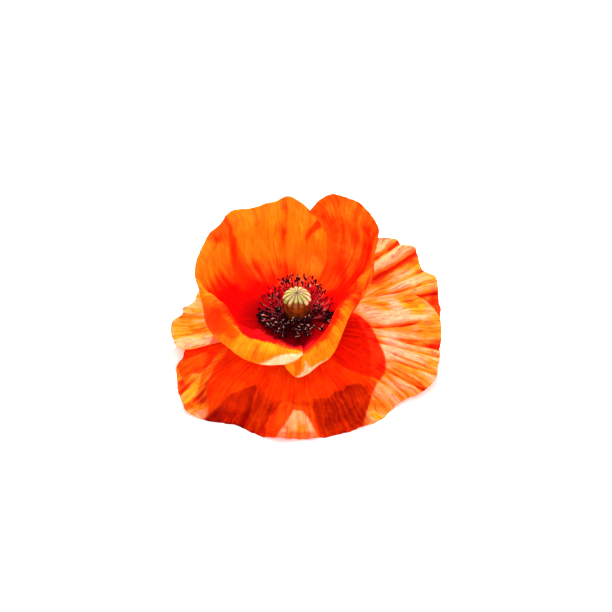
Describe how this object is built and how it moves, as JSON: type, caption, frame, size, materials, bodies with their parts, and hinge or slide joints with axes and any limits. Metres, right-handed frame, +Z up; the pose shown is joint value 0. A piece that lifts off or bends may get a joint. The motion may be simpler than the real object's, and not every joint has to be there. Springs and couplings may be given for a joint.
{
  "type": "poppy flower",
  "caption": "Open poppy flower with cupped inner petals, spreading outer petals, a ring of stamens and a ribbed seed capsule on a short cut stem.",
  "frame": {"origin": "middle of the flower's outline, on the surface that the outer petals rest on", "axes": "+Z up out of the open cup, +X to the right of the picture, +Y away from the camera"},
  "size_m": [0.0766, 0.0742, 0.039],
  "materials": {
    "petal_inner": "silky thin petal, scarlet to orange, fine streaks along its ribs",
    "petal_outer": "silky crinkled petal, scarlet to orange with pale sheen",
    "stamens": "dark purple threads and anthers with pale pollen",
    "pistil": "matt green-brown capsule under a cream disc with dark rays",
    "stem": "matt green with fine hairs"
  },
  "bodies": {
    "root": {"petal_inner_left": "petal_inner", "petal_inner_right": "petal_inner", "petal_outer_front": "petal_outer", "petal_outer_back": "petal_outer", "stamens": "stamens", "pistil": "pistil", "stem": "stem"}
  },
  "joints": []
}
